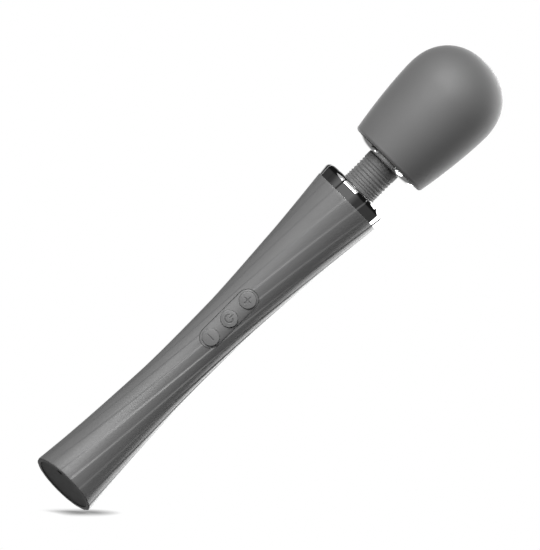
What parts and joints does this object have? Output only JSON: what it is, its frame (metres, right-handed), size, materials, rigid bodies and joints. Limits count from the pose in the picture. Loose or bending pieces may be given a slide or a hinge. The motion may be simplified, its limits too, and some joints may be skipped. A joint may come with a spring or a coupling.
{
  "type": "handheld wand massager",
  "caption": "Handheld wand massager with a twisted ridged handle, pill-shaped button pad, flexible ribbed neck and soft round vibrating head.",
  "frame": {"origin": "on the wand's long axis, level with the lowest point of the slanted base", "axes": "+Z along the wand from base to head, -Y is the button side, +X is to the right when the buttons are faced with the head up"},
  "size_m": [0.0604, 0.0604, 0.3425],
  "materials": {
    "handle": "glossy grey lacquer over moulded plastic",
    "button_silicone": "satin grey silicone",
    "head_silicone": "matte soft-touch grey silicone",
    "base": "fine-textured dark grey plastic",
    "chrome": "mirror-bright plating",
    "nylon": "natural glass-filled nylon",
    "steel": "bright zinc-plated steel",
    "brass": "machined",
    "rubber": "black elastomer",
    "board": "green solder mask over glass-epoxy laminate",
    "black_plastic": "moulded black plastic",
    "cell_wrap": "shrink sleeve over a steel can"
  },
  "bodies": {
    "handle": {"handle_shell": "handle", "bottom_cap": "base", "cap_gasket": "rubber", "charge_jack": "black_plastic", "charge_board": "board", "chrome_collar": "chrome", "neck_socket": "nylon", "socket_screw_1": "steel", "socket_screw_2": "steel", "socket_screw_3": "steel", "neck_sleeve_lower": "head_silicone", "neck_spring_lower": "steel", "chassis_front": "black_plastic", "chassis_back": "black_plastic", "chassis_screw_1": "steel", "chassis_screw_2": "steel", "chassis_screw_3": "steel", "chassis_screw_4": "steel", "battery_cell": "cell_wrap", "battery_tab_top": "steel", "battery_tab_bottom": "steel", "control_board": "board", "board_screw_1": "steel", "board_screw_2": "steel", "control_chip": "black_plastic", "cable_plug": "nylon", "motor_cable_lower": "rubber", "charge_lead": "rubber", "button_pad": "button_silicone", "minus_switch": "black_plastic", "power_switch": "black_plastic", "plus_switch": "black_plastic"},
    "neck_middle": {"neck_ring": "nylon"},
    "head": {"neck_sleeve_upper": "head_silicone", "neck_spring_upper": "steel", "neck_clamp": "nylon", "clamp_screw_1": "steel", "clamp_screw_2": "steel", "clamp_screw_3": "steel", "head_base": "chrome", "head_cover": "head_silicone", "head_core": "nylon", "motor_cradle": "nylon", "motor_damper": "rubber", "motor_can": "steel", "motor_magnet": "black_plastic", "motor_end_cap": "black_plastic", "motor_bush": "brass", "motor_cable_upper": "rubber"},
    "rotor": {"motor_shaft": "steel", "motor_armature": "steel", "eccentric_weight": "brass"},
    "minus_key": {"minus_button": "button_silicone", "minus_switch_plunger": "black_plastic"},
    "power_key": {"power_button": "button_silicone", "power_switch_plunger": "black_plastic"},
    "plus_key": {"plus_button": "button_silicone", "plus_switch_plunger": "black_plastic"}
  },
  "joints": [
    {"name": "neck_bend_front_back", "type": "hinge", "parent": "handle", "child": "neck_middle", "pos_m": [0, 0, 0.2466], "axis": [1, 0, 0], "range_deg": [-15, 15], "stiffness_Nm_per_rad": 3, "deforming": ["neck_sleeve_lower", "neck_spring_lower", "motor_cable_lower"]},
    {"name": "neck_bend_side", "type": "hinge", "parent": "neck_middle", "child": "head", "pos_m": [0, 0, 0.2568], "axis": [0, 1, 0], "range_deg": [-15, 15], "stiffness_Nm_per_rad": 3, "deforming": ["neck_sleeve_upper", "neck_spring_upper", "motor_cable_upper"]},
    {"name": "motor_spin", "type": "hinge", "parent": "head", "child": "rotor", "pos_m": [0, 0, 0.29], "axis": [0, 0, 1], "continuous": true},
    {"name": "minus_press", "type": "slide", "parent": "handle", "child": "minus_key", "axis": [0, 1, 0], "range_m": [0, 0.0006], "stiffness_N_per_m": 800},
    {"name": "power_press", "type": "slide", "parent": "handle", "child": "power_key", "axis": [0, 1, 0], "range_m": [0, 0.0006], "stiffness_N_per_m": 800},
    {"name": "plus_press", "type": "slide", "parent": "handle", "child": "plus_key", "axis": [0, 1, 0], "range_m": [0, 0.0006], "stiffness_N_per_m": 800}
  ]
}
